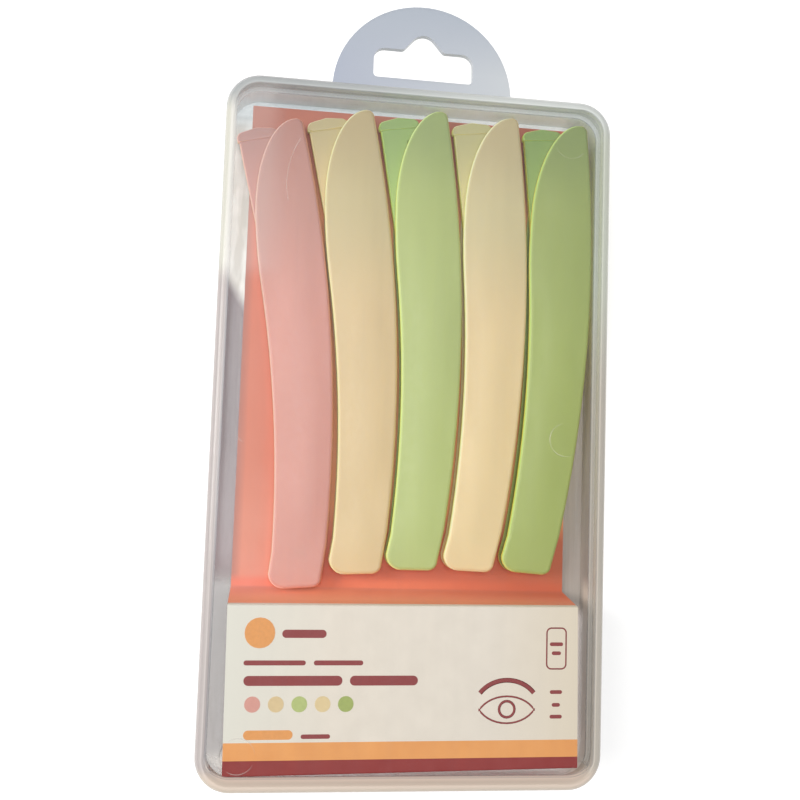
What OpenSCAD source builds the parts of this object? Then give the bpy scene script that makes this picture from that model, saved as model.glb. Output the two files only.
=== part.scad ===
// Boxed set of folding eyebrow razors: a clear two-part case with a hanging
// tab, a folded insert card and a row of razors that each fold at one pin.
// The box lies on its back, +Z is its front, +Y points to the hanging tab and
// the origin is the middle of the outline, on the plane that it rests on.

/* [Razor handle] */
// Number of razors in the row
razor_count = 5; // [5:1:5]
// Height of the handle's tip above its pivot
tip_up = 86; // [80:1:92]
// Distance from the pivot down to the flat tail
tail_drop = 7; // [6:0.5:9]
// Distance from the pivot line out to the crest of the spine
spine_x = 7.8; // [7.2:0.1:8.5]
// Radius of the long curve of the spine
spine_r = 273; // [240:1:320]
// Height of the spine's crest above the pivot
spine_up = 37.4; // [33:0.2:42]
// Distance from the pivot line out to the hollow of the open edge
edge_x = 4.1; // [3.6:0.1:4.6]
// Radius of the long hollow curve of the open edge
edge_r = 243; // [220:1:300]
// Height of the hollow above the pivot
edge_up = 24; // [18:0.5:26]
// Height at which the open edge begins to swell
swell_up = 52; // [48:1:55]
// Distance from the pivot line out to the fullest point of the swell
belly_x = 6.5; // [6.3:0.1:7.2]
// Height of the fullest point of the swell above the pivot
belly_up = 66; // [63:1:70]
// Corner radius of the nose on the spine side
nose_r = 1.5; // [1.2:0.1:2.5]
// Corner radius of the tail on the open side
tail_edge_r = 3; // [2:0.1:4]
// Corner radius of the tail on the spine side
tail_spine_r = 1.8; // [1:0.1:3]
// Thickness of each of the handle's two scales
scale_t = 1.4; // [1.2:0.1:2]
// Height of the channel between the scales
channel_h = 2.2; // [2:0.1:3]
// Thickness of the spine wall that joins the scales
spine_wall = 1.2; // [1:0.1:1.4]

/* [Pivot] */
// Diameter of the pivot pin
pin_d = 2.4; // [2:0.1:3]
// Plastic left over each end of the pin
pin_skin = 0.5; // [0.4:0.1:0.8]
// Radius of the round boss of the arm
boss_r = 3.5; // [3.2:0.1:3.6]
// Running clearance round the pin in the arm
pin_clear = 0.05; // [0.02:0.01:0.08]
// Clearance round the pin in the scales
pin_seat_clear = 0.02; // [0.01:0.01:0.03]

/* [Blade arm] */
// Clearance between the arm and each scale
arm_gap = 0.2; // [0.1:0.05:0.3]
// Width of the arm's shank
shank_w = 5; // [4.5:0.1:5.4]
// Radius of the long curve of the shank's back
shank_r = 167; // [150:1:200]
// Height at which the straight head begins
head_up = 50; // [48:1:52]
// Distance from the pivot line out to the head's back where it begins
head_x = 4.45; // [4.2:0.05:4.7]
// Width of the head's plastic beside the blade
head_w = 5.4; // [5:0.1:5.8]
// Length of the cap on the end of the head
cap_l = 2.4; // [2:0.1:3]
// Width of the cap
cap_w = 8.4; // [8:0.1:8.8]
// Step of the cap outside the head's back
cap_step = 0.3; // [0.2:0.05:0.5]
// Corner radius of the cap
cap_r = 1.3; // [1:0.1:1.6]
// Rise of the cap's crown in its middle
cap_crown = 0.5; // [0.3:0.1:0.8]
// Width of the groove below the cap
groove_w = 0.4; // [0.3:0.1:0.6]
// Depth of the groove below the cap
groove_t = 0.25; // [0.2:0.05:0.4]

/* [Blade and guard] */
// Thickness of the blade
blade_t = 0.3; // [0.2:0.05:0.4]
// Width of the blade from its hidden back to its edge
blade_w = 4.2; // [3.8:0.1:4.4]
// Depth of the blade's back inside the head
blade_seat = 2.2; // [1.8:0.1:2.6]
// Length of the blade
blade_l = 26.6; // [25:0.2:28]
// Distance from the start of the head to the blade
blade_low = 2.9; // [2.6:0.1:3.4]
// Length of the full-width plastic between the blade's end and the groove
end_block_l = 1.9; // [1.2:0.1:2.6]
// Width of the ground bevel
bevel_w = 0.9; // [0.6:0.1:1.2]
// Width of the comb guard across the blade's edge
guard_w = 1.3; // [1.1:0.1:1.4]
// Thickness of the comb guard
guard_t = 1; // [0.8:0.1:1.2]
// Reach of the guard outside the blade's edge
guard_out = 0.5; // [0.4:0.05:0.6]
// Distance from each end of the blade to the guard's end
guard_in = 0.7; // [0.4:0.1:1.2]
// Pitch of the guard's teeth
tooth_pitch = 1.5; // [1.2:0.1:2]
// Width of the gap between two teeth
tooth_gap = 0.7; // [0.5:0.1:0.8]

/* [Row of razors] */
// Gap between neighbouring handles at the pivots
row_gap = 1.1; // [1.1:0.05:2.5]
// How far a loose razor can slip down the row
slip_l = 3.85; // [2.8:0.05:4.2]
// How far a loose razor can drift to the right in the row
row_play = 0.3; // [0:0.05:0.3]
// Gap between the leftmost arm and the case wall
left_gap = 0.65; // [0.5:0.05:1.5]
// Gap between the rightmost handle and the case wall
right_gap = 0.2; // [0.2:0.05:1.5]
// Gap between the razors' tips and the case wall
top_gap = 0.5; // [0.3:0.05:1]
// Gap between the lowest tail and the foot of the card's ramp
tail_gap = 0.2; // [0.2:0.1:1]

/* [Insert card] */
// Thickness of the card
card_t = 0.4; // [0.3:0.05:0.5]
// Gap between the card and the case walls at each side
card_side_gap = 3.9; // [2.8:0.05:4.2]
// Gap between the card's upper end and the case wall
card_top_gap = 0.95; // [0.8:0.05:1.5]
// Height of the front panel above the back panel
label_up = 10.9; // [10:0.1:13]
// Length of the front panel
label_l = 30.7; // [28:0.1:34]
// Run of the ramp between the back panel and the front panel
ramp_run = 2; // [2:0.1:4]
// Gap between the front panel's lower end and the case wall
label_low_gap = 2.45; // [1.6:0.05:3]
// Length of the flap tucked under the front panel
flap_l = 18; // [14:1:22]

/* [Case] */
// Thickness of the case's floor
floor_t = 1.2; // [1:0.1:1.6]
// Thickness of the case's wall
wall_t = 0.85; // [0.8:0.05:1.4]
// Outer corner radius of the case seen from the front
corner_r = 6.5; // [6:0.1:7.5]
// Radius of the case's lower edge
base_edge_r = 1.8; // [1:0.1:2.2]
// Radius of the lid's front edge
lid_edge_r = 1.5; // [1:0.1:1.7]
// Thickness of the lid's panel
lid_t = 1.2; // [1:0.1:1.6]
// Height of the lid's rim on top of the wall
lid_rim = 1.8; // [1.7:0.1:2.4]
// Depth of the lid's skirt inside the wall
skirt_l = 2.8; // [2:0.1:3]
// Thickness of the lid's skirt
skirt_t = 1; // [0.8:0.1:1.1]
// Clearance between the skirt and the wall
skirt_gap = 0.1; // [0.05:0.05:0.2]
// Gap between the lid's panel and the card
lid_gap = 0.3; // [0.2:0.05:0.6]

/* [Hanging tab] */
// Radius of the half-round tab
tab_r = 18; // [16:0.5:20]
// Thickness of the tab
tab_t = 1.2; // [1:0.1:1.6]
// Distance from the wall's upper edge down to the tab
tab_low = 1.9; // [1.5:0.1:3]
// Radius of the fillet at each foot of the tab
tab_foot_r = 1.2; // [0.8:0.1:2]
// Distance from the case to the slot
slot_up = 2.9; // [2.5:0.1:4]
// Width of the hanging slot
slot_w = 20; // [18:0.5:22]
// Height of the slot's wide part
slot_h = 6; // [5:0.1:7]
// Upper corner radius of the slot
slot_r = 2.2; // [1.5:0.1:2.5]
// Lower corner radius of the slot
slot_low_r = 0.8; // [0.5:0.1:1.2]
// Width of the slot's hump at its foot
hump_w = 9; // [8.6:0.2:10]
// Height of the hump above the wide part
hump_h = 3.2; // [3:0.1:3.6]
// Radius of the hump's top
hump_r = 2.7; // [2.2:0.1:2.8]
// Radius of the soft foot at each side of the hump
hump_foot_r = 1; // [0.6:0.1:1.2]

/* [Hidden] */
$fn = 64;
// Steps along each stretch of a long curve
curve_steps = 14;
// Overrun of a cut past the face it opens
over = 0.2;

// Colours of the row from left to right and of the other pieces
razor_colours = ["#dba79e", "#dfcc9b", "#aebd77", "#dfcc9b", "#a5b870"];
card_colour = "#e2876c";
case_colour = [0.82, 0.84, 0.85, 0.45];
steel_colour = "#c9ccd0";

// Lean of each razor and of its arm in degrees, counter-clockwise positive
leans = [4.2, 2.6, 0, -2.2, -4.1];
arm_turns = [-0.5, -0.4, 0, -0.3, -0.5];
// How far each razor has slipped and drifted, as shares of the slip length and of the play
slip_shares = [1, 0.25, 0, 0, 0.05];
drift_shares = [0.5, 1, 0, 0, 0.9];
// Tilt of the head's back against the line through pivot and tip
head_tilt = 10;

// A point turned about the origin
function turned(p, a) = [p.x * cos(a) - p.y * sin(a), p.x * sin(a) + p.y * cos(a)];
// Points on an arc
function arc_points(c, r, a0, a1, n) =
    [for (i = [0:n]) let (a = a0 + (a1 - a0) * i / n) [c.x + r * cos(a), c.y + r * sin(a)]];
// Places of the handle's two long edges at a height above the pivot
function spine_at(y) = spine_x - spine_r + sqrt(pow(spine_r, 2) - pow(y - spine_up, 2));
function hollow_at(y) = -edge_x - edge_r + sqrt(pow(edge_r, 2) - pow(y - edge_up, 2));
function swell_at(y) =
    -belly_x + (hollow_at(swell_up) + belly_x) * pow((belly_up - y) / (belly_up - swell_up), 2);

// The head's frame: its origin is where its back begins
head_origin = [-head_x, head_up];
function head_point(u, v) = head_origin + turned([u, v], head_tilt);
head_l = blade_low + blade_l + end_block_l + groove_w;
end_block_w = cap_w - 2 * cap_step;
guard_l = blade_l - 2 * guard_in;
// Height of the razor's highest point above its pivot
razor_up = max(tip_up, head_point(cap_w / 2 - cap_step, head_l + cap_l).y);

// Spacing of the row, worked out from the handle's width at the pivots
row_pitch = spine_at(0) - hollow_at(0) + row_gap;
middle = (razor_count - 1) / 2;
left_reach = middle * row_pitch - drift_shares[0] * row_play
    - turned(head_point(-cap_step, head_l + cap_l), leans[0] + arm_turns[0]).x;
right_reach = middle * row_pitch + drift_shares[razor_count - 1] * row_play + spine_r
    + turned([spine_x - spine_r, spine_up], leans[razor_count - 1]).x;

// Inside and outside of the case, worked out from what it holds
inner_w = left_reach + right_reach + left_gap + right_gap;
inner_l = top_gap + razor_up + slip_l + tail_drop + tail_gap + ramp_run + label_l + label_low_gap;
case_w = inner_w + 2 * wall_t;
case_l = inner_l + 2 * wall_t;
card_z = floor_t + card_t;
label_z = card_z + label_up;
lid_z = label_z + lid_gap;
case_d = lid_z + lid_t;
rim_z = case_d - lid_rim;
case_y = -tab_r / 2;
inner_top = case_y + inner_l / 2;
inner_low = case_y - inner_l / 2;
inner_corner_r = corner_r - wall_t;

// Levels of the razor above its underside
arm_t = channel_h - 2 * arm_gap;
arm_z = scale_t + arm_gap;
front_z = scale_t + channel_h;
pin_l = channel_h + 2 * (scale_t - pin_skin);
blade_z = scale_t + channel_h / 2;

// Lines of the card
card_w = inner_w - 2 * card_side_gap;
card_top = inner_top - card_top_gap;
ramp_low = inner_top - top_gap - razor_up - slip_l - tail_drop - tail_gap;
ramp_top = ramp_low - ramp_run;
label_low = ramp_top - label_l;

// Lines of the hanging tab
tab_y = case_y + case_l / 2;
slot_y = tab_y + slot_up;

// Place of each razor's pivot
function pivot_at(k) = [
    (k - middle) * row_pitch + drift_shares[k] * row_play
        + (left_reach + left_gap - right_reach - right_gap) / 2,
    inner_top - top_gap - razor_up - slip_shares[k] * slip_l
];

// Outline of the handle, from the tail round the spine to the nose and back
function tail_points() = concat(
    arc_points([hollow_at(-tail_drop) + tail_edge_r, tail_edge_r - tail_drop], tail_edge_r, 180, 270, 6),
    arc_points([spine_at(-tail_drop) - tail_spine_r, tail_spine_r - tail_drop], tail_spine_r, 270, 358, 5)
);
function spine_points() =
    let (y0 = tail_spine_r - tail_drop, y1 = tip_up - nose_r)
    [for (i = [1:curve_steps]) let (y = y0 + (y1 - y0) * i / curve_steps) [spine_at(y), y]];
function nose_points() =
    let (nose_x = spine_at(tip_up - nose_r) - nose_r)
    concat(
        arc_points([nose_x, tip_up - nose_r], nose_r, 15, 90, 5),
        [for (a = [84:-6:0])
            [nose_x - (nose_x + belly_x) * cos(a), belly_up + (tip_up - belly_up) * sin(a)]]
    );
function open_points() = concat(
    [for (i = [1:4]) let (y = belly_up + (swell_up - belly_up) * i / 4) [swell_at(y), y]],
    [for (i = [1:curve_steps - 1])
        let (y = swell_up + (tail_edge_r - tail_drop - swell_up) * i / curve_steps) [hollow_at(y), y]]
);

module handle_outline() {
    polygon(concat(tail_points(), spine_points(), nose_points(), open_points()));
}

// Band of the outline along the spine, as thick as the spine wall
module spine_outline() {
    intersection() {
        handle_outline();
        polygon(concat(
            [for (i = [0:curve_steps])
                let (y = -tail_drop - over + (tip_up + tail_drop + 2 * over) * i / curve_steps)
                [spine_at(y) - spine_wall, y]],
            [[spine_x + over, tip_up + over], [spine_x + over, -tail_drop - over]]
        ));
    }
}

module pin_bore(z) {
    translate([0, 0, z])
        cylinder(d = pin_d + 2 * pin_seat_clear, h = scale_t - pin_skin + over);
}

// Outline of the arm without its boss and cap: curved shank, straight head and end block
module arm_outline() {
    centre = head_origin - shank_r * [cos(head_tilt), sin(head_tilt)];
    low = asin(-centre.y / shank_r);
    polygon(concat(
        arc_points(centre, shank_r, low, head_tilt, curve_steps),
        [
            head_point(0, head_l + over),
            head_point(end_block_w, head_l + over),
            head_point(end_block_w, blade_low + blade_l),
            head_point(head_w, blade_low + blade_l),
            head_point(head_w, 0)
        ],
        arc_points(centre, shank_r + shank_w, head_tilt, low, curve_steps)
    ));
}

module cap_outline() {
    polygon([for (p = concat(
        [[-cap_step, head_l], [cap_w - cap_step, head_l]],
        arc_points([cap_w - cap_step - cap_r, head_l + cap_l - cap_crown - cap_r], cap_r, 0, 80, 5),
        [[cap_w / 2 - cap_step, head_l + cap_l]],
        arc_points([cap_r - cap_step, head_l + cap_l - cap_crown - cap_r], cap_r, 100, 180, 5)
    )) head_point(p.x, p.y)]);
}

// Bar in the head's frame, from one corner to the other
module head_bar(u0, u1, v0, v1, z0, z1) {
    translate([head_origin.x, head_origin.y, 0])
        rotate(head_tilt)
            translate([u0, v0, z0])
                cube([u1 - u0, v1 - v0, z1 - z0]);
}

module arm() {
    difference() {
        translate([0, 0, arm_z]) {
            cylinder(r = boss_r, h = arm_t);
            linear_extrude(arm_t) arm_outline();
            linear_extrude(arm_t) cap_outline();
        }
        translate([0, 0, arm_z - over])
            cylinder(d = pin_d + 2 * pin_clear, h = arm_t + 2 * over);
        head_bar(head_w - blade_seat, head_w + over, blade_low, blade_low + blade_l,
            blade_z - blade_t / 2, blade_z + blade_t / 2);
        head_bar(-over, cap_w + over, head_l - groove_w, head_l,
            arm_z + arm_t - groove_t, arm_z + arm_t + over);
        head_bar(-over, cap_w + over, head_l - groove_w, head_l, arm_z - over, arm_z + groove_t);
    }
}

// Steel strip with a ground edge, as a profile drawn out along the head
module blade() {
    back_u = head_w - blade_seat;
    edge_u = back_u + blade_w;
    translate([head_origin.x, head_origin.y, blade_z])
        rotate(head_tilt)
            translate([0, blade_low + blade_l, 0])
                rotate([90, 0, 0])
                    linear_extrude(blade_l)
                        polygon([
                            [back_u, -blade_t / 2],
                            [edge_u - bevel_w, -blade_t / 2],
                            [edge_u, 0],
                            [edge_u - bevel_w, blade_t / 2],
                            [back_u, blade_t / 2]
                        ]);
}

module guard() {
    out_u = head_w - blade_seat + blade_w + guard_out;
    low_v = blade_low + guard_in;
    teeth = floor((guard_l - tooth_gap) / tooth_pitch);
    first_v = low_v + (guard_l - (teeth - 1) * tooth_pitch - tooth_gap) / 2;
    difference() {
        head_bar(out_u - guard_w, out_u, low_v, low_v + guard_l,
            blade_z - guard_t / 2, blade_z + guard_t / 2);
        head_bar(out_u - guard_w - over, out_u - guard_out, low_v - over, low_v + guard_l + over,
            blade_z - blade_t / 2, blade_z + blade_t / 2);
        for (i = [0:teeth - 1])
            head_bar(out_u - guard_w / 2 - guard_out / 2, out_u + over,
                first_v + i * tooth_pitch, first_v + i * tooth_pitch + tooth_gap,
                blade_z - guard_t, blade_z + guard_t);
    }
}

// Places one razor's piece in the row, with the arm's own turn if it has one
module in_row(k, turn = 0) {
    translate([pivot_at(k).x, pivot_at(k).y, card_z])
        rotate(leans[k] + turn)
            children();
}

module front_scale(k) {
    color(razor_colours[k])
        in_row(k)
            difference() {
                translate([0, 0, front_z])
                    linear_extrude(scale_t) handle_outline();
                pin_bore(front_z - over);
            }
}

module rear_scale(k) {
    color(razor_colours[k])
        in_row(k)
            difference() {
                union() {
                    linear_extrude(scale_t) handle_outline();
                    linear_extrude(front_z) spine_outline();
                }
                pin_bore(pin_skin);
            }
}

module pivot_pin(k) {
    color(steel_colour)
        in_row(k)
            translate([0, 0, pin_skin])
                cylinder(d = pin_d, h = pin_l);
}

module blade_arm(k) {
    color(razor_colours[k])
        in_row(k, arm_turns[k]) arm();
}

module razor_blade(k) {
    color(steel_colour)
        in_row(k, arm_turns[k]) blade();
}

module blade_guard(k) {
    color(razor_colours[k])
        in_row(k, arm_turns[k]) guard();
}

// Folded sheet seen from its side: back panel, ramp, front panel, lower wall and flap
module insert_card() {
    lean_t = card_t * norm([ramp_run, label_up]) / label_up;
    color(card_colour)
        rotate([90, 0, 90])
            translate([0, 0, -card_w / 2])
                linear_extrude(card_w)
                    polygon([
                        [card_top, card_z],
                        [ramp_low, card_z],
                        [ramp_top, label_z],
                        [label_low, label_z],
                        [label_low, floor_t],
                        [label_low + flap_l, floor_t],
                        [label_low + flap_l, card_z],
                        [label_low + card_t, card_z],
                        [label_low + card_t, label_z - card_t],
                        [ramp_top - lean_t, label_z - card_t],
                        [ramp_low - lean_t, floor_t],
                        [card_top, floor_t]
                    ]);
}

// Block with round corners and straight sides
module round_block(w, l, r, h) {
    translate([r - w / 2, -l / 2, 0]) cube([w - 2 * r, l, h]);
    translate([-w / 2, r - l / 2, 0]) cube([w, l - 2 * r, h]);
    for (x = [-1, 1], y = [-1, 1])
        translate([x * (w / 2 - r), y * (l / 2 - r), 0]) cylinder(r = r, h = h);
}

// Side view of a slab's rounded upper edge, from a middle line out to a half width
module edge_profile(half_w, h, e) {
    difference() {
        square([half_w, h]);
        translate([half_w - e, h - e])
            difference() {
                square([e + over, e + over]);
                circle(r = e);
            }
    }
}

// Slab with round corners and a rounded upper edge
module soft_slab(w, l, r, h, e) {
    for (x = [-1, 1], y = [-1, 1])
        translate([x * (w / 2 - r), y * (l / 2 - r), 0])
            rotate_extrude() edge_profile(r, h, e);
    for (side = [0, 180])
        rotate(side) {
            translate([0, l / 2 - r, 0])
                rotate([90, 0, 0]) linear_extrude(l - 2 * r) edge_profile(w / 2, h, e);
            translate([r - w / 2, 0, 0])
                rotate([90, 0, 90]) linear_extrude(w - 2 * r) edge_profile(l / 2, h, e);
        }
}

// Outline of the hanging slot, centred on its lower edge
module slot_outline() {
    half = slot_w / 2;
    top = slot_h + hump_h;
    polygon(concat(
        arc_points([half - slot_low_r, slot_low_r], slot_low_r, 270, 360, 4),
        arc_points([half - slot_r, slot_h - slot_r], slot_r, 0, 90, 6),
        arc_points([hump_w / 2, slot_h + hump_foot_r], hump_foot_r, 270, 220, 4),
        arc_points([0, top - hump_r], hump_r, 40, 140, 12),
        arc_points([-hump_w / 2, slot_h + hump_foot_r], hump_foot_r, 320, 270, 4),
        arc_points([slot_r - half, slot_h - slot_r], slot_r, 90, 180, 6),
        arc_points([slot_low_r - half, slot_low_r], slot_low_r, 180, 270, 4)
    ));
}

module tab_outline() {
    root = wall_t / 2;
    difference() {
        union() {
            intersection() {
                circle(r = tab_r);
                translate([-tab_r, -root]) square([2 * tab_r, tab_r + root]);
            }
            for (side = [-1, 1])
                scale([side, 1])
                    difference() {
                        translate([tab_r - tab_foot_r, -root]) square([2 * tab_foot_r, tab_foot_r + root]);
                        translate([tab_r + tab_foot_r, tab_foot_r]) circle(r = tab_foot_r);
                    }
        }
        translate([0, slot_up]) slot_outline();
    }
}

module case_base() {
    color(case_colour) {
        difference() {
            union() {
                translate([0, case_y, rim_z])
                    mirror([0, 0, 1]) soft_slab(case_w, case_l, corner_r, rim_z, base_edge_r);
                translate([0, tab_y, rim_z - tab_low - tab_t])
                    linear_extrude(tab_t) tab_outline();
            }
            translate([0, case_y, floor_t])
                round_block(inner_w, inner_l, inner_corner_r, rim_z);
        }
    }
}

module case_lid() {
    skirt_w = inner_w - 2 * skirt_gap;
    skirt_len = inner_l - 2 * skirt_gap;
    skirt_corner_r = inner_corner_r - skirt_gap;
    color(case_colour)
        translate([0, case_y, 0])
            difference() {
                union() {
                    translate([0, 0, rim_z])
                        soft_slab(case_w, case_l, corner_r, lid_rim, min(lid_edge_r, lid_rim));
                    translate([0, 0, rim_z - skirt_l])
                        round_block(skirt_w, skirt_len, skirt_corner_r, skirt_l + lid_rim / 2);
                }
                translate([0, 0, rim_z - skirt_l - over])
                    round_block(skirt_w - 2 * skirt_t, skirt_len - 2 * skirt_t, skirt_corner_r - skirt_t,
                        lid_z - rim_z + skirt_l + over);
            }
}

case_base();
case_lid();
insert_card();
for (k = [1:razor_count]) {
    front_scale(k - 1);
    rear_scale(k - 1);
    pivot_pin(k - 1);
    blade_arm(k - 1);
    razor_blade(k - 1);
    blade_guard(k - 1);
}
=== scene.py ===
"""Looks of the boxed set of folding eyebrow razors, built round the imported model.

Metres, +Z out of the case's front, +Y towards the hanging tab."""
import math

import bmesh
import bpy
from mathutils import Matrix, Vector


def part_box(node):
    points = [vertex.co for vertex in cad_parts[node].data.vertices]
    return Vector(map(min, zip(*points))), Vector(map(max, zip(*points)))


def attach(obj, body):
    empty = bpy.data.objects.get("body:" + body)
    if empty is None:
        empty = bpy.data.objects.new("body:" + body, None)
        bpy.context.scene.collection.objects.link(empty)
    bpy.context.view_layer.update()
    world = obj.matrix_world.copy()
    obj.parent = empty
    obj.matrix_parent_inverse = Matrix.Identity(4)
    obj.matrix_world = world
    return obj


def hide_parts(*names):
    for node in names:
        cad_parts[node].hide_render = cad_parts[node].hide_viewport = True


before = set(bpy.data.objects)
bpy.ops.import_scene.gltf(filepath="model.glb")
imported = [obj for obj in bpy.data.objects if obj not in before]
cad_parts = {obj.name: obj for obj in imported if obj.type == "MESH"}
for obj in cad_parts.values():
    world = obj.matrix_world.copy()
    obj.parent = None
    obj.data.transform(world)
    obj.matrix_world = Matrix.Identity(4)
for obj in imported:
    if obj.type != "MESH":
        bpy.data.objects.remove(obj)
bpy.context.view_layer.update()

MM = 0.001
UP = Vector((0, 0, 1))
SAME_LEVEL = 0.002 * MM
scene = bpy.context.scene

# The row, from left to right
RAZORS = ("1", "2", "3", "4", "5")
RAZOR_COLOURS = {
    "1": (228, 167, 154), "2": (232, 207, 160), "3": (193, 206, 135),
    "4": (237, 214, 165), "5": (174, 188, 112)}
RAZOR_SLOTS = {
    "1": "pink_plastic", "2": "cream_plastic", "3": "green_plastic",
    "4": "cream_plastic", "5": "green_plastic"}

# Handle: how far its rims are rounded, how far its front bows, and the net that the bow is drawn in
HANDLE_RIM = 0.75 * MM
CROWN = 0.34 * MM
CROWN_REACH = 4.2 * MM
NET_ACROSS = 1.4 * MM
NET_ALONG = 3.5 * MM

# Arm: its painted light and shade beside the handle's colour (the same plastic, lighter or darker where
# the handles shade it), the level where its outline is read, its rounding and its pin's bore
ARM_PAINTED_LIGHT = {
    "1": (0.96, 0.94, 0.95), "2": (1.0, 1.02, 1.02), "3": (0.95, 1.01, 0.97), "4": (0.96, 1.01, 0.97),
    "5": (0.97, 1.03, 0.98)}
ARM_CUT = 3.7 * MM
ARM_RIM = 0.5 * MM
BORE_RADIUS = 1.25 * MM

# Arm's straight head: its lean in degrees, its start from the pin, and in its own frame, as left, low,
# right and high in millimetres, the groove under the cap and the blade's seat
ARM_LEANS = {"1": 3.7, "2": 2.2, "3": 0, "4": -2.5, "5": -4.6}
HEAD_TILT = 10
HEAD_START = Vector((-4.45, 50, 0)) * MM
GROOVE = (-1.0, 31.4, 9.5, 31.8)
GROOVE_DEEP = 0.25 * MM
BLADE_SEAT = (3.2, 2.9, 9.5, 29.5)
BLADE_LEVELS = (3.95 * MM, 4.25 * MM)
END_OVER_BLADE = 0.65 * MM
CUT_PAST = 1 * MM

# Card: its folds and its printed stripes, as places along the case
RAMP_TOP = -42.2 * MM
RAMP_LOW = -40.2 * MM
CREAM_FROM = -42.0 * MM
ORANGE_FROM = -67.14 * MM
MAROON_FROM = -70.34 * MM
FOLD_ROUND = 0.35 * MM
PANEL_MIDDLE = Vector((0, -57, 12.5)) * MM
PANEL_SKEW = 0.5
LOW_FOLD_SKEW = 0.6

# Print on the card: the ink's thickness, and how far a bar's ends are rounded
INK_THICK = 0.03 * MM
BAR_ROUND = 0.98

# Case: its outline's corner, how far in the lid's rim tones run (in millimetres), and the share of the
# milkiness that is kept for light on its way to what lies behind
CASE_CORNER = 6.5 * MM
RIM_RUN = 4.0
LIGHT_KEPT = 0.12

# Marks in the lid: rings that the mould leaves in its inner face, and one fine scratch
LID_GAP = 0.3 * MM
RING_RADIUS = 3.3 * MM
RING_HOLLOW = 0.945
RING_DEEP = 0.09 * MM
RING_ROUND = 0.04 * MM
RING_PLACES = (
    (-30.56, -9.64), (30.12, -9.71), (-30.52, -69.75),
    (30.14, -70.0), (-30.41, 49.82), (30.1, 49.9))
SCRATCH_LEVEL = 12.75 * MM
SCRATCH_WIDTH = 0.12
SCRATCH_PLACES = (
    (-23.76, 46.48), (-25.19, 43.99), (-26.08, 40.23), (-26.32, 36.5), (-25.63, 34.13))

# Camera, fitted to the photograph
CAMERA_PLACE = Vector((-27.67, -18.89, 197.23)) * MM
CAMERA_TURN = (4.825, -7.65, 2.562)
CAMERA_LENS = 43.91
SENSOR_WIDTH = 36

# Stage
FLOOR_LEVEL = -0.3 * MM
FLOOR_GLOW = 0.36
SKY_STRENGTH = 0.4


# Selecting and editing

def select_only(piece):
    """Makes one object the only selected and active one."""
    if bpy.context.mode != "OBJECT":
        bpy.ops.object.mode_set(mode="OBJECT")
    bpy.ops.object.select_all(action="DESELECT")
    piece.select_set(True)
    bpy.context.view_layer.objects.active = piece


def edit(piece):
    """Opens one object in edit mode with its whole mesh selected."""
    select_only(piece)
    bpy.ops.object.mode_set(mode="EDIT")
    bpy.ops.mesh.reveal(select=False)
    bpy.ops.mesh.select_all(action="SELECT")


def done():
    bpy.ops.object.mode_set(mode="OBJECT")


def pick(piece, kind, wanted):
    """Selects the vertices, edges or faces that a test wants."""
    bpy.ops.mesh.select_mode(type=kind)
    bpy.ops.mesh.select_all(action="DESELECT")
    mesh = bmesh.from_edit_mesh(piece.data)
    parts = {"VERT": mesh.verts, "EDGE": mesh.edges, "FACE": mesh.faces}[kind]
    for part in [part for part in parts if not part.hide and wanted(part)]:
        part.select_set(True)
    mesh.select_flush_mode()
    bmesh.update_edit_mesh(piece.data)


def on_level(edge, z):
    return all(abs(v.co.z - z) < SAME_LEVEL for v in edge.verts)


def is_rim(edge, z):
    """True for an edge on a level, between a flat face and a side."""
    if not on_level(edge, z) or len(edge.link_faces) != 2:
        return False
    tilts = sorted(abs(face.normal.z) for face in edge.link_faces)
    return tilts[0] < 0.5 and tilts[1] > 0.9


def smooth(piece, degrees=40):
    """Shades round edges smooth, and keeps the broad faces next to them flat."""
    select_only(piece)
    bpy.ops.object.shade_smooth_by_angle(angle=math.radians(degrees))
    apply_modifier(piece, "WEIGHTED_NORMAL", keep_sharp=True, weight=100)


def apply_modifier(piece, kind, **settings):
    select_only(piece)
    modifier = piece.modifiers.new(kind.lower(), kind)
    for name, value in settings.items():
        setattr(modifier, name, value)
    bpy.ops.object.modifier_apply(modifier=modifier.name)


def settle(piece, name, material, body):
    """Names a finished piece, puts its place into its mesh and lets it ride on its body."""
    select_only(piece)
    bpy.ops.object.transform_apply(location=True, rotation=True, scale=True)
    piece.name = name
    piece.data.name = name
    piece.data.materials.clear()
    piece.data.materials.append(material)
    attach(piece, body)


def dress(node, material):
    """Gives a CAD node its material."""
    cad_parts[node].data.materials.clear()
    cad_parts[node].data.materials.append(material)


def copy_of(node, name):
    """An own copy of a CAD node's shape, merged to whole faces."""
    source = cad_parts[node]
    piece = bpy.data.objects.new(name, source.data.copy())
    scene.collection.objects.link(piece)
    edit(piece)
    bpy.ops.mesh.remove_doubles(threshold=0.001 * MM)
    bpy.ops.mesh.dissolve_limited(angle_limit=math.radians(0.3))
    done()
    return piece


# Materials

def srgb(red, green, blue):
    """A colour as read on the screen, turned to the renderer's own scale."""
    parts = [value / 255 for value in (red, green, blue)]
    return tuple(p / 12.92 if p < 0.04045 else ((p + 0.055) / 1.055) ** 2.4 for p in parts) + (1.0,)


def shade(colour, *shares):
    """A colour made darker or lighter, by one share or by a share for each of red, green and blue."""
    if len(shares) == 1:
        shares = shares * 3
    return tuple(min(255, value * share) for value, share in zip(colour, shares))


def tint(colour, *shares):
    return srgb(*shade(colour, *shares))


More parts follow.
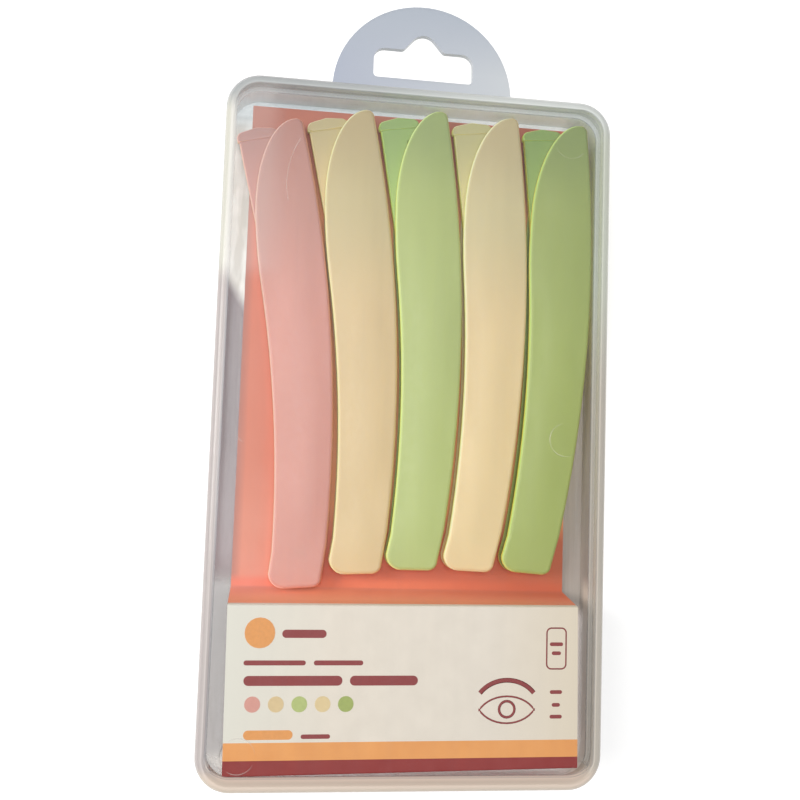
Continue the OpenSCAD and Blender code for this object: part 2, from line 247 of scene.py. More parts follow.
class Finish:
    """One material's nodes, each reading the object's own coordinates."""

    def __init__(self, name, **sockets):
        self.material = bpy.data.materials.new(name)
        self.material.use_nodes = True
        self.tree = self.material.node_tree
        self.surface = self.tree.nodes["Principled BSDF"]
        self.place = self.add("ShaderNodeTexCoord").outputs["Object"]
        for socket, value in sockets.items():
            self.set(socket.replace("_", " "), value)

    def add(self, kind, **settings):
        node = self.tree.nodes.new(kind)
        for name, value in settings.items():
            setattr(node, name, value)
        return node

    def plug(self, socket, value):
        if isinstance(value, bpy.types.NodeSocket):
            self.tree.links.new(value, socket)
        else:
            socket.default_value = value

    def set(self, socket, value):
        self.plug(self.surface.inputs[socket], value)

    def maths(self, operation, *values, clamp=False):
        node = self.add("ShaderNodeMath", operation=operation, use_clamp=clamp)
        for socket, value in zip(node.inputs, values):
            self.plug(socket, value)
        return node.outputs[0]

    def times(self, first, second):
        return self.maths("MULTIPLY", first, second)

    def axes(self):
        return self.add_split(self.place)

    def facing(self):
        """Which way the surface looks, on each axis."""
        return self.add_split(self.add("ShaderNodeTexCoord").outputs["Normal"])

    def add_split(self, vector):
        node = self.add("ShaderNodeSeparateXYZ")
        self.plug(node.inputs[0], vector)
        return node.outputs

    def stretched(self, x, y, z):
        """The object's coordinates, scaled apart on each axis."""
        node = self.add("ShaderNodeMapping")
        self.plug(node.inputs["Vector"], self.place)
        node.inputs["Scale"].default_value = (x, y, z)
        return node.outputs[0]

    def noise(self, scale, detail=3.0, roughness=0.5, vector=None):
        node = self.add("ShaderNodeTexNoise")
        self.plug(node.inputs["Vector"], vector or self.place)
        node.inputs["Scale"].default_value = scale
        node.inputs["Detail"].default_value = detail
        node.inputs["Roughness"].default_value = roughness
        return node.outputs["Fac"]

    def between(self, value, low, high, out_low=0.0, out_high=1.0, kind="LINEAR"):
        node = self.add("ShaderNodeMapRange", interpolation_type=kind)
        for socket, number in zip(node.inputs, (value, low, high, out_low, out_high)):
            self.plug(socket, number)
        return node.outputs["Result"]

    def soft(self, value, start, end):
        """A share that eases from 0 to 1 between two values."""
        return self.between(value, start, end, 0.0, 1.0, "SMOOTHSTEP")

    def blend(self, share, first, second):
        node = self.add("ShaderNodeMix", data_type="RGBA")
        self.plug(node.inputs[0], share)
        self.plug(node.inputs[6], first)
        self.plug(node.inputs[7], second)
        return node.outputs[2]

    def steps(self, value, *stops):
        """A ramp through (place, colour) stops."""
        node = self.add("ShaderNodeValToRGB")
        self.plug(node.inputs[0], value)
        marks = node.color_ramp.elements
        while len(marks) < len(stops):
            marks.new(1.0)
        for mark, (place, colour) in zip(marks, stops):
            mark.position = place
            mark.color = colour
        return node.outputs["Color"]

    def bump(self, height, strength, distance):
        node = self.add("ShaderNodeBump")
        node.inputs["Strength"].default_value = strength
        node.inputs["Distance"].default_value = distance
        self.plug(node.inputs["Height"], height)
        self.set("Normal", node.outputs[0])


def moulded_plastic(name, colour, upper_shade=1.0):
    """Satin moulded plastic that light sinks into: cloudy colour and fine grain, with painted light and
    shade.

    The upper part gets a cooler painted shade, by upper_shade, and the tip a darker painted shade. The
    left rims carry a painted highlight, the right rims a warm painted shade, and the sides a warm painted
    glow for light that passes through the plastic into the gaps.
    """
    finish = Finish(name, Specular_IOR_Level=0.4, Subsurface_Weight=0.3, Subsurface_Scale=0.5 * MM,
                    Subsurface_Radius=(1.0, 0.9, 0.6))
    clouds = finish.noise(70, 2.0, 0.5, finish.stretched(1, 0.35, 1))
    specks = finish.between(finish.noise(2200, 2.0, 0.6), 0.72, 0.8, 0.0, 0.35)
    tone = finish.blend(finish.between(clouds, 0.3, 0.7), tint(colour, 0.975), tint(colour, 1.02))
    y = finish.axes()[1]
    # Painted shade: the upper part turns cooler, by upper_shade, and the tip darker.
    cooler = (0.935, 0.975, 0.98) if colour[0] > colour[1] else (0.985, 0.985, 0.97)
    upper = finish.between(y, 12 * MM, 38 * MM, 0.0, upper_shade, "SMOOTHSTEP")
    tone = finish.blend(upper, tone, tint(colour, *cooler))
    tip = finish.soft(y, 36 * MM, 54 * MM)
    tone = finish.blend(tip, tone, tint(colour, 0.87, 0.89, 0.89))
    facing = finish.facing()
    flatness = finish.maths("ABSOLUTE", facing[2])
    # Painted highlight on the rims that face left, and a warm painted shade on those that face right.
    left_rim = tint(colour, 1.2, 1.26, 1.28)
    right_rim = tint(colour, 1.04, 0.97, 0.88)
    rim = finish.blend(finish.between(facing[0], -0.2, 0.2), left_rim, right_rim)
    tone = finish.blend(finish.between(flatness, 0.9, 0.6), tone, rim)
    # Painted glow on the sides, for light that passes through the plastic into the gaps between the
    # razors.
    tone = finish.blend(finish.between(flatness, 0.45, 0.1), tone, tint(colour, 1.6, 1.28, 0.95))
    finish.set("Base Color", finish.blend(specks, tone, tint(colour, 0.88)))
    finish.set("Roughness", finish.between(finish.noise(900, 3.0), 0.3, 0.7, 0.34, 0.44))
    finish.bump(finish.noise(5200, 3.0), 0.12, 0.01 * MM)
    return finish.material


def ground_steel():
    """Steel with fine grinding marks across the blade."""
    finish = Finish("ground_steel", Metallic=1.0)
    marks = finish.noise(1.0, 2.0, 0.5, finish.stretched(900, 9000, 900))
    finish.set("Base Color", finish.blend(marks, srgb(188, 190, 194), srgb(214, 216, 220)))
    finish.set("Roughness", finish.between(marks, 0.2, 0.8, 0.22, 0.4))
    finish.bump(marks, 0.15, 0.01 * MM)
    return finish.material


def card_print():
    """Coated card: coral panel, ramp, cream front panel and its two stripes.

    The coral carries painted light and shade: paler painted light to the left, to the lower left and
    under the row of razors, and painted shade along its left edge, below the razors' tails, at its top
    end and to the right. The ramp's deeper coral is painted shade on the steep fold, with a painted
    highlight along its upper lip, and the cream is paler and cooler to the left and deeper to the right,
    painted light and shade.
    """
    finish = Finish("printed_card", Specular_IOR_Level=0.35)
    x, y = finish.axes()[:2]
    line = finish.maths("SUBTRACT", y, finish.times(x, math.tan(math.radians(PANEL_SKEW))))
    grain = finish.between(finish.noise(260, 4.0, 0.6), 0.3, 0.7)
    rub = finish.between(finish.noise(46, 3.0, 0.6), 0.35, 0.7)
    coral = finish.blend(grain, srgb(232, 132, 106), srgb(240, 142, 117))
    coral = finish.blend(finish.times(rub, 0.5), coral, srgb(243, 156, 132))
    # Painted light: the coral is paler towards the left, and paler still at the lower left.
    left = finish.soft(x, -14 * MM, -32 * MM)
    coral = finish.blend(left, coral, srgb(234, 152, 130))
    low_left = finish.times(left, finish.soft(y, -14 * MM, -30 * MM))
    coral = finish.blend(low_left, coral, srgb(243, 165, 143))
    # Painted shadow along the card's left edge.
    coral = finish.blend(finish.between(x, -31.6 * MM, -33.4 * MM), coral, srgb(204, 144, 132))
    # Painted shade on the panel below the razors' tails.
    foot = finish.times(
        finish.between(y, -33 * MM, -36 * MM), finish.between(x, -24 * MM, -18 * MM))
    coral = finish.blend(foot, coral, srgb(212, 114, 87))
    # Painted shade at the panel's top end.
    far = finish.soft(y, 40 * MM, 54 * MM)
    coral = finish.blend(far, coral, srgb(200, 128, 109))
    # Painted shade: the coral deepens towards the right.
    right = finish.soft(x, -5 * MM, 34 * MM)
    coral = finish.blend(right, coral, srgb(200, 110, 80))
    # Painted light under the row of razors, where the gaps between them show it.
    under_row = finish.times(
        finish.between(x, -24 * MM, -19 * MM), finish.between(y, -30 * MM, -24 * MM))
    under_row = finish.times(under_row, finish.between(y, 48 * MM, 40 * MM))
    coral = finish.blend(under_row, coral, srgb(250, 178, 132))
    # The ramp's deeper coral is painted shade on the steep fold. It is paler to the left and deeper to
    # the right, painted light and shade.
    ramp = finish.blend(grain, srgb(231, 127, 92), srgb(237, 134, 98))
    ramp = finish.blend(left, ramp, srgb(249, 148, 126))
    ramp = finish.blend(right, ramp, srgb(206, 106, 74))
    # Painted highlight along the ramp's upper lip.
    lip = finish.between(y, -40.5 * MM, -42.1 * MM, 0.0, 0.8, "SMOOTHSTEP")
    ramp = finish.blend(lip, ramp, srgb(248, 162, 126))
    # Painted shade at the fold's foot: the ramp's tone starts on the panel just above the fold.
    near_ramp = finish.soft(y, -37.5 * MM, -39.5 * MM)
    cream = finish.blend(grain, srgb(233, 224, 210), srgb(239, 230, 216))
    # Painted light and shade: the cream is paler and cooler to the left and deeper to the right.
    cream = finish.blend(finish.between(x, -14 * MM, -33 * MM), cream, srgb(231, 229, 217))
    cream = finish.blend(finish.between(x, 16 * MM, 33 * MM), cream, srgb(233, 221, 200))
    orange = finish.blend(grain, srgb(237, 164, 99), srgb(243, 172, 106))
    maroon = finish.blend(grain, srgb(148, 60, 58), srgb(156, 67, 64))
    colour = finish.blend(near_ramp, coral, ramp)
    for edge, next_colour in ((CREAM_FROM, cream), (ORANGE_FROM, orange), (MAROON_FROM, maroon)):
        colour = finish.blend(finish.maths("LESS_THAN", line, edge), colour, next_colour)
    finish.set("Base Color", colour)
    finish.set("Roughness", finish.between(grain, 0.0, 1.0, 0.42, 0.52))
    creases = finish.between(finish.noise(1.0, 2.0, 0.5, finish.stretched(40, 900, 1)), 0.55, 0.75)
    from_fold = finish.maths("ABSOLUTE", finish.maths("ADD", y, 37.5 * MM))
    near_fold = finish.between(from_fold, 0.0, 5 * MM, 1.0, 0.0)
    fine_grain = finish.times(finish.noise(3000, 3.0), 0.1)
    finish.bump(finish.maths("ADD", finish.times(creases, near_fold), fine_grain), 0.35, 0.08 * MM)
    return finish.material


def card_board():
    """The card's unprinted side: grey-white board with short fibres."""
    finish = Finish("grey_board", Roughness=0.85)
    fibres = finish.noise(1.0, 5.0, 0.7, finish.stretched(900, 2600, 900))
    finish.set("Base Color", finish.blend(fibres, srgb(196, 190, 180), srgb(226, 221, 212)))
    finish.bump(fibres, 0.25, 0.03 * MM)
    return finish.material


def ink(name, colour):
    """Printing ink, slightly uneven as it lies on the card."""
    finish = Finish(name, Roughness=0.5, Specular_IOR_Level=0.3)
    spread = finish.noise(1500, 3.0)
    tone = finish.blend(finish.between(spread, 0.3, 0.7), tint(colour, 0.98), tint(colour, 1.02))
    finish.set("Base Color", tone)
    return finish.material


def inside_outline(finish):
    """How far inside the case's round-cornered outline a point lies, in millimetres."""
    low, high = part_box("case_lid")
    middle, half = (low + high) / 2, (high - low) / 2

    def past_straight(place, centre, reach):
        from_centre = finish.maths("ABSOLUTE", finish.maths("SUBTRACT", place, centre))
        return finish.maths("SUBTRACT", from_centre, reach - CASE_CORNER)

    places = finish.axes()
    x = past_straight(places[0], middle.x, half.x)
    y = past_straight(places[1], middle.y, half.y)
    out_x = finish.maths("MAXIMUM", x, 0.0)
    out_y = finish.maths("MAXIMUM", y, 0.0)
    squares = finish.maths("ADD", finish.times(out_x, out_x), finish.times(out_y, out_y))
    round_part = finish.maths("SQRT", squares)
    straight_part = finish.maths("MINIMUM", finish.maths("MAXIMUM", x, y), 0.0)
    outside = finish.maths("ADD", round_part, straight_part)
    return finish.times(finish.maths("SUBTRACT", CASE_CORNER, outside), 1 / MM)


def flow_marks(finish):
    """Long soft streaks, as the melt leaves them along the case."""
    return finish.between(finish.noise(1.0, 3.0, 0.55, finish.stretched(520, 26, 60)), 0.35, 0.68)


def let_light_through(finish, milky):
    """Sets how milky the plastic looks, and lets most of the light pass it to what lies behind."""
    path = finish.add("ShaderNodeLightPath")
    light = finish.maths("MAXIMUM", path.outputs["Is Shadow Ray"], path.outputs["Is Diffuse Ray"])
    finish.set("Alpha", finish.times(milky, finish.between(light, 0.0, 1.0, 1.0, LIGHT_KEPT)))


def side_shares(finish):
    """How far a point lies to the case's right, to its top end and to its lower end, each from 0 to 1."""
    x, y = finish.axes()[:2]
    right = finish.soft(x, -22 * MM, 22 * MM)
    top = finish.soft(y, 50 * MM, 55 * MM)
    low = finish.soft(y, -71 * MM, -74 * MM)
    return right, top, low


def outward_share(finish):
    """How far a wall's face looks out of the case: 1 outside, -1 inside, 0 where the face lies flat."""
    x, y = finish.axes()[:2]
    facing = finish.facing()
    outward_x = finish.times(facing[0], finish.between(x, -2 * MM, 2 * MM, -1.0, 1.0))
    outward_y = finish.times(facing[1], finish.between(y, -11 * MM, -7 * MM, -1.0, 1.0))
    return finish.maths("ADD", outward_x, outward_y)


def lid_plastic():
    """Clear plastic of the lid: nearly clear plate and milky rim, with painted light and shade.

    The rim's tones paint a highlight line where it steps, a reflection at the upper left, a greenish
    reflection at the upper right, and lighter and darker tones on each side as light falls. The plate has
    a dark bluish veil that thickens towards the top and right, partly the plastic's milkiness and partly
    painted shade, and a painted glare at the upper left.
    """
    finish = Finish("clear_lid", Roughness=0.2, Specular_IOR_Level=0.5)
    depth = finish.maths("DIVIDE", inside_outline(finish), RIM_RUN, clamp=True)
    right, top, low = side_shares(finish)
    x, y = finish.axes()[:2]
    # Painted reflection: the left rim turns bright and streaky above this band.
    bright = finish.soft(y, 17 * MM, 22 * MM)
    # Rim tones by depth in from the edge. Each ramp paints the rim's light and shade, and its brightest
    # stop is a painted highlight line where the lid steps.
    left_rim = finish.steps(
        depth, (0.0, srgb(208, 199, 197)), (0.17, srgb(197, 188, 186)), (0.25, srgb(206, 198, 195)),
        (0.3, srgb(228, 219, 216)), (0.37, srgb(186, 177, 175)), (0.6, srgb(176, 165, 165)))
    bright_rim = finish.steps(
        depth, (0.0, srgb(216, 216, 208)), (0.12, srgb(224, 223, 210)), (0.22, srgb(226, 225, 214)),
        (0.29, srgb(255, 253, 246)), (0.35, srgb(248, 246, 239)), (0.42, srgb(228, 225, 219)),
        (0.6, srgb(234, 230, 224)))
    left_rim = finish.blend(bright, left_rim, bright_rim)
    right_rim = finish.steps(
        depth, (0.0, srgb(222, 216, 204)), (0.2, srgb(206, 200, 189)), (0.34, srgb(198, 191, 180)),
        (0.42, srgb(232, 223, 210)), (0.5, srgb(200, 191, 179)), (0.6, srgb(180, 171, 158)))
    # Painted greenish reflection of the row on the upper right rim.
    upper_rim = finish.steps(
        depth, (0.0, srgb(236, 239, 227)), (0.2, srgb(218, 222, 210)), (0.33, srgb(210, 214, 202)),
        (0.4, srgb(229, 233, 220)), (0.5, srgb(206, 212, 198)), (0.6, srgb(192, 201, 187)))
    right_rim = finish.blend(finish.soft(y, -4 * MM, 26 * MM), right_rim, upper_rim)
    # Top rim: painted light, lighter towards the right.
    top_left_rim = finish.steps(
        depth, (0.0, srgb(200, 202, 203)), (0.2, srgb(180, 183, 184)), (0.34, srgb(192, 195, 195)),
        (0.4, srgb(204, 208, 208)), (0.5, srgb(184, 188, 188)))
    top_right_rim = finish.steps(
        depth, (0.0, srgb(240, 243, 242)), (0.2, srgb(212, 216, 214)), (0.34, srgb(226, 230, 227)),
        (0.42, srgb(240, 244, 241)), (0.5, srgb(220, 225, 223)))
    top_rim = finish.blend(right, top_left_rim, top_right_rim)
    # Low rim: pale, warm painted light.
    low_rim = finish.steps(
        depth, (0.0, srgb(238, 228, 213)), (0.1, srgb(225, 209, 191)), (0.2, srgb(236, 219, 202)),
        (0.3, srgb(244, 225, 209)), (0.38, srgb(224, 206, 189)), (0.5, srgb(213, 196, 180)),
        (0.62, srgb(222, 200, 184)), (0.8, srgb(214, 188, 174)))
    colour = finish.blend(right, left_rim, right_rim)
    colour = finish.blend(low, finish.blend(top, colour, top_rim), low_rim)
    reach = finish.maths("SUBTRACT", finish.times(depth, RIM_RUN), finish.times(low, 1.1))
    plate = finish.between(reach, 1.65, 2.05)
    # Painted glare on the plate at the upper left: white, and a touch milkier.
    glow = finish.times(bright, finish.soft(x, -25 * MM, -31 * MM))
    haze_and_shade_colour = finish.blend(glow, srgb(150, 161, 172), srgb(226, 226, 226))
    finish.set("Base Color", finish.blend(plate, colour, haze_and_shade_colour))
    # A dark bluish veil that thickens towards the top and right, partly the plastic's milkiness and
    # partly painted shade over the upper row.
    up = finish.soft(y, -20 * MM, 54 * MM)
    haze_and_shade = finish.times(up, finish.between(x, -30 * MM, 30 * MM, 0.035, 0.075))
    clear = finish.maths("ADD", haze_and_shade, finish.times(flow_marks(finish), 0.012))
    clear = finish.maths("ADD", clear, finish.times(glow, 0.07))
    rim = finish.between(plate, 0.0, 1.0, 0.8, 0.0)
    let_light_through(finish, finish.maths("MAXIMUM", rim, clear))
    finish.bump(finish.noise(40, 2.0), 0.08, 0.2 * MM)
    return finish.material


def base_plastic():
    """Clear plastic of the tray: milkier floor and walls with streaks, and a bluish hanging tab.

    Each wall's inner side carries painted light and shade: painted shade on the left and right walls,
    painted reflections in bright patches at the upper left, in streaks along the top end and greenish at
    the upper right, and a painted glow beside the label and along the low wall. Outside they all have the
    same plain tone.
    """
    finish = Finish("clear_base", Roughness=0.16, Specular_IOR_Level=0.5)
    depth = inside_outline(finish)
    streaks = flow_marks(finish)
    right, top, low = side_shares(finish)
    x, y, z = finish.axes()
    floor = finish.between(z, 1.5 * MM, 4 * MM, 1.0, 0.0)
    beside_label = finish.soft(y, -36 * MM, -41 * MM)
    # Left wall: painted shade, dark, lighter further down and beside the label.
    left_wall = finish.blend(streaks, srgb(112, 96, 99), srgb(132, 116, 118))
    left_wall = finish.blend(finish.between(y, -12 * MM, -34 * MM), left_wall, srgb(156, 140, 142))
    left_low_wall = finish.blend(streaks, srgb(140, 131, 129), srgb(156, 147, 143))
    left_wall = finish.blend(beside_label, left_wall, left_low_wall)
    # Painted reflection: bright streaky patches on the left wall's upper part.
    patches = finish.between(finish.noise(1.0, 3.0, 0.6, finish.stretched(330, 70, 70)), 0.4, 0.58)
    bright_wall = finish.blend(patches, srgb(222, 220, 212), srgb(255, 255, 250))
    slant = finish.maths("ADD", y, finish.times(finish.maths("ADD", x, 34.6 * MM), 1.5))
    left_wall = finish.blend(finish.soft(slant, 15 * MM, 20 * MM), left_wall, bright_wall)
    upper = finish.soft(y, 0 * MM, 30 * MM)
    # Right wall: painted shade, with a pale painted glow beside the label and a painted greenish
    # reflection of the row on its upper part.
    right_wall = finish.blend(streaks, srgb(147, 138, 130), srgb(165, 155, 148))
    right_wall = finish.blend(beside_label, right_wall, srgb(246, 229, 213))
    right_top_wall = finish.blend(streaks, srgb(158, 168, 136), srgb(174, 183, 152))
    right_wall = finish.blend(upper, right_wall, right_top_wall)
    # Right floor: painted light and shade, pale and warm below the label's step where the card shades it.
    right_floor = finish.blend(streaks, srgb(172, 161, 151), srgb(186, 175, 165))
    below_step = finish.soft(y, -42 * MM, -46 * MM)
    right_floor = finish.blend(below_step, right_floor, srgb(236, 208, 190))
    body = finish.blend(right, left_wall, finish.blend(floor, right_wall, right_floor))
    # Top wall: painted reflection in streaks across it, bluish at the left and white at the right, with
    # greenish painted shade in its right corner.
    across = finish.between(finish.noise(1.0, 3.0, 0.55, finish.stretched(26, 620, 60)), 0.38, 0.62)
    top_left = finish.blend(across, srgb(196, 208, 213), srgb(226, 238, 243))
    top_right = finish.blend(across, srgb(244, 248, 247), srgb(255, 255, 255))
    top_right = finish.blend(finish.between(x, 31 * MM, 35 * MM), top_right, srgb(166, 174, 150))
    # Low wall: pale painted glow, darker at its left end.
    low_wall = finish.blend(streaks, srgb(246, 234, 220), srgb(255, 246, 236))
    low_wall = finish.blend(finish.between(x, -29 * MM, -35 * MM), low_wall, srgb(205, 196, 186))
    top_wall = finish.blend(right, top_left, top_right)
    body = finish.blend(low, finish.blend(top, body, top_wall), low_wall)
    outward = outward_share(finish)
    outer = finish.between(outward, 0.3, 0.7, 0.0, 0.85)
    plain_wall = finish.blend(streaks, srgb(204, 203, 201), srgb(220, 219, 216))
    body = finish.blend(outer, body, plain_wall)
    tab = finish.between(depth, -0.3, 0.0, 1.0, 0.0)
    left_right = finish.between(x, -18 * MM, 18 * MM)
    hanger = finish.blend(left_right, srgb(187, 194, 210), srgb(214, 219, 224))
    hanger = finish.blend(finish.between(y, 63 * MM, 75 * MM), hanger, srgb(188, 196, 208))
    finish.set("Base Color", finish.blend(tab, body, hanger))
    milky = finish.times(
        finish.between(streaks, 0.0, 1.0, 0.92, 1.04), finish.between(right, 0.0, 1.0, 0.84, 0.78))
    milky = finish.times(milky, finish.between(top, 0.0, 1.0, 1.0, 0.7))
    thinner = finish.between(right, 0.0, 1.0, beside_label, finish.times(below_step, floor))
    milky = finish.times(milky, finish.between(thinner, 0.0, 1.0, 1.0, 0.5))
    milky = finish.times(milky, finish.between(outward, -0.3, -0.7, 1.0, 1.12))
    let_light_through(finish, finish.maths("MAXIMUM", milky, finish.times(tab, 0.88)))
    finish.bump(finish.noise(60, 2.0), 0.08, 0.2 * MM)
    return finish.material


def mark_plastic(name, shown_from, most):
    """The same clear plastic where it is a touch thicker and catches light, broken here and there."""
    finish = Finish(name, Roughness=0.3)
    finish.set("Base Color", finish.blend(finish.noise(400), srgb(240, 230, 222), srgb(255, 250, 244)))
    finish.set("Alpha", finish.between(finish.noise(130, 2.0), shown_from, shown_from + 0.3, 0.0, most))
    return finish.material


# Handles

def handle_shell(node, name, outer_z, crown, material, body):
    """One scale of a handle: its outer rim is rounded, and a front scale's face is crowned."""
    piece = copy_of(node, name)
    edit(piece)
    if crown:
        pick(piece, "FACE", lambda f: f.normal.z > 0.9
             and abs(f.calc_center_median().z - outer_z) < 0.01 * MM)
        bpy.ops.transform.translate(value=(0, 0, -crown))
        outer_z -= crown
    pick(piece, "EDGE", lambda e: is_rim(e, outer_z))
    bpy.ops.mesh.bevel(offset=HANDLE_RIM, segments=5, profile=0.5, affect="EDGES", clamp_overlap=False)
    if crown:
        crown_face(piece, outer_z, crown)
    done()
    smooth(piece, 50)
    settle(piece, name, material, body)
    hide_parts(node)


def crown_face(piece, z, height):
    """Cuts the flat front into a net and lifts its middle in a gentle bow."""
    def flat(face):
        return face.normal.z > 0.99 and all(abs(v.co.z - z) < SAME_LEVEL for v in face.verts)

    low = Vector(map(min, zip(*(v.co for v in piece.data.vertices))))
    high = Vector(map(max, zip(*(v.co for v in piece.data.vertices))))
    for axis, pitch in ((Vector((1, 0, 0)), NET_ACROSS), (Vector((0, 1, 0)), NET_ALONG)):
        cuts = int((high - low).dot(axis) / pitch)
        for i in range(1, cuts + 1):
            pick(piece, "FACE", flat)
            place = low + axis * (high - low).dot(axis) * i / (cuts + 1)
            bpy.ops.mesh.bisect(plane_co=place, plane_no=axis)
    pick(piece, "FACE", flat)
    bpy.ops.mesh.hide(unselected=True)
    mesh = bmesh.from_edit_mesh(piece.data)
    border = [v.co.copy() for v in mesh.verts
              if not v.hide and any(face.hide for face in v.link_faces)]
    pick(piece, "VERT", lambda v: min((v.co - b).length for b in border) > CROWN_REACH)
    bpy.ops.transform.translate(
        value=(0, 0, height), use_proportional_edit=True,
        proportional_edit_falloff="INVERSE_SQUARE", proportional_size=CROWN_REACH)
    bpy.ops.mesh.reveal(select=False)


# Arms

def flat_turned(vector, degrees):
    turn = math.radians(degrees)
    return Vector((
        vector.x * math.cos(turn) - vector.y * math.sin(turn),
        vector.x * math.sin(turn) + vector.y * math.cos(turn), vector.z))


def cut_away(piece, cutter):
    """Cuts one object's shape out of a piece, then throws the cutter away."""
    apply_modifier(piece, "BOOLEAN", operation="DIFFERENCE", solver="EXACT", object=cutter)
    bpy.data.objects.remove(cutter)


def head_bar(number, pin, corners, low, high):
    """A bar lying in the frame of an arm's straight head, from its corners in millimetres."""
    lean = ARM_LEANS[number]
    start = pin + flat_turned(HEAD_START, lean)
    u0, v0, u1, v1 = corners
    middle = start + flat_turned(Vector(((u0 + u1) / 2, (v0 + v1) / 2, 0)) * MM, lean + HEAD_TILT)
    middle.z = (low + high) / 2
    turn = math.radians(lean + HEAD_TILT)
    bpy.ops.object.select_all(action="DESELECT")
    bpy.ops.mesh.primitive_cube_add(size=1, location=middle, rotation=(0, 0, turn))
    bar = bpy.context.object
    bar.scale = ((u1 - u0) * MM, (v1 - v0) * MM, high - low)
    bpy.ops.object.transform_apply(location=True, rotation=True, scale=True)
    return bar


def close_over_blade_end(piece, number, pin):
    """Draws the head's end block down over the blade's end, so no gap is left beside the handle."""
    lean = ARM_LEANS[number]
    start = pin + flat_turned(HEAD_START, lean)

    def at_blade_end(vertex):
        place = flat_turned((vertex.co - start).to_2d().to_3d(), -lean - HEAD_TILT)
        return place.x > 5 * MM and abs(place.y - BLADE_SEAT[3] * MM) < 0.1 * MM

    pick(piece, "VERT", at_blade_end)
    bpy.ops.transform.translate(value=flat_turned(Vector((0, -END_OVER_BLADE, 0)), lean + HEAD_TILT))


def arm_shape(number, material):
    """A blade arm drawn up from its own outline, rounded, then cut for pin, groove and blade."""
    node = "arm_" + number
    low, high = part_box(node)
    pin_low, pin_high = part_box("pivot_pin_" + number)
    pin = (pin_low + pin_high) / 2
    piece = copy_of(node, "blade_arm_" + number)
    edit(piece)
    bpy.ops.mesh.bisect(plane_co=(0, 0, ARM_CUT), plane_no=UP, clear_inner=True, clear_outer=True)
    pick(piece, "VERT", lambda v: (v.co - pin).to_2d().length < BORE_RADIUS + 0.3 * MM)
    bpy.ops.mesh.delete(type="VERT")
    close_over_blade_end(piece, number, pin)
    bpy.ops.mesh.select_mode(type="EDGE")
    bpy.ops.mesh.select_all(action="SELECT")
    bpy.ops.mesh.edge_face_add()
    bpy.ops.transform.translate(value=(0, 0, low.z - ARM_CUT))
    bpy.ops.mesh.extrude_region_move(TRANSFORM_OT_translate={"value": (0, 0, high.z - low.z)})
    bpy.ops.mesh.select_all(action="SELECT")
    bpy.ops.mesh.normals_make_consistent(inside=False)
    pick(piece, "EDGE", lambda e: is_rim(e, low.z) or is_rim(e, high.z))
    bpy.ops.mesh.bevel(offset=ARM_RIM, segments=4, profile=0.5, affect="EDGES", clamp_overlap=False)
    done()
    cut_away(piece, head_bar(number, pin, GROOVE, high.z - GROOVE_DEEP, high.z + CUT_PAST))
    cut_away(piece, head_bar(number, pin, GROOVE, low.z - CUT_PAST, low.z + GROOVE_DEEP))
    cut_away(piece, head_bar(number, pin, BLADE_SEAT, *BLADE_LEVELS))
    bpy.ops.object.select_all(action="DESELECT")
    bpy.ops.mesh.primitive_cylinder_add(vertices=40, radius=BORE_RADIUS, depth=6 * MM, location=pin)
    cut_away(piece, bpy.context.object)
    smooth(piece, 40)
    settle(piece, "blade_arm_shape_" + number, material, "blade_arm_" + number)
    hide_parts(node)


# Card

def skew(piece, wanted, degrees):
    """Turns part of a piece a little about the middle of the card's front panel."""
    pick(piece, "VERT", wanted)
    bpy.ops.transform.rotate(
        value=-math.radians(degrees), orient_axis="Z", center_override=tuple(PANEL_MIDDLE))


def folded_card(printed, board):
    """The insert card with rounded folds and its slight skew, printed on its front only."""
    piece = copy_of("insert_card", "folded_card")
    edit(piece)
    low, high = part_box("insert_card")

    def is_fold(edge):
        first, second = edge.verts
        if len(edge.link_faces) != 2 or abs(first.co.x - second.co.x) <= 10 * MM:
            return False
        at_fold = any(abs(first.co.y - place) < 0.05 * MM for place in (RAMP_TOP, low.y))
        return at_fold and first.co.z > high.z - 0.1 * MM and edge.calc_face_angle(0) > math.radians(20)

    pick(piece, "EDGE", is_fold)
    bpy.ops.mesh.bevel(offset=FOLD_ROUND, segments=3, profile=0.5, affect="EDGES")
    skew(piece, lambda v: v.co.y < RAMP_LOW - 0.8 * MM and v.co.z > 6 * MM, PANEL_SKEW)
    skew(piece, lambda v: v.co.y < low.y + 1.2 * MM, LOW_FOLD_SKEW)
    done()
    smooth(piece, 50)
    settle(piece, "folded_card", printed, "base")
    piece.data.materials.append(board)
    for face in piece.data.polygons:
        outer = face.normal.z > 0.3 or (face.normal.y < -0.7 and face.center.y < low.y + 0.8 * MM)
        face.material_index = 0 if outer or face.normal.y > 0.1 and face.center.z > 1.7 * MM else 1
    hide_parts("insert_card")


def printed_bar(left, low, width, height):
    """A plain bar of ink with round ends, lying on the card's front panel, placed in millimetres."""
    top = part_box("insert_card")[1].z
    bpy.ops.object.select_all(action="DESELECT")
    bpy.ops.mesh.primitive_cube_add(
        size=1, location=((left + width / 2) * MM, (low + height / 2) * MM, top + INK_THICK / 2))
    piece = bpy.context.object
    piece.scale = (width * MM, height * MM, INK_THICK)
    bpy.ops.object.transform_apply(location=True, rotation=True, scale=True)
    edit(piece)
    pick(piece, "EDGE", lambda e: abs(e.verts[0].co.z - e.verts[1].co.z) > INK_THICK / 2)
    bpy.ops.mesh.bevel(
        offset=min(width, height) / 2 * BAR_ROUND * MM, segments=5, affect="EDGES", clamp_overlap=False)
    done()
    return piece


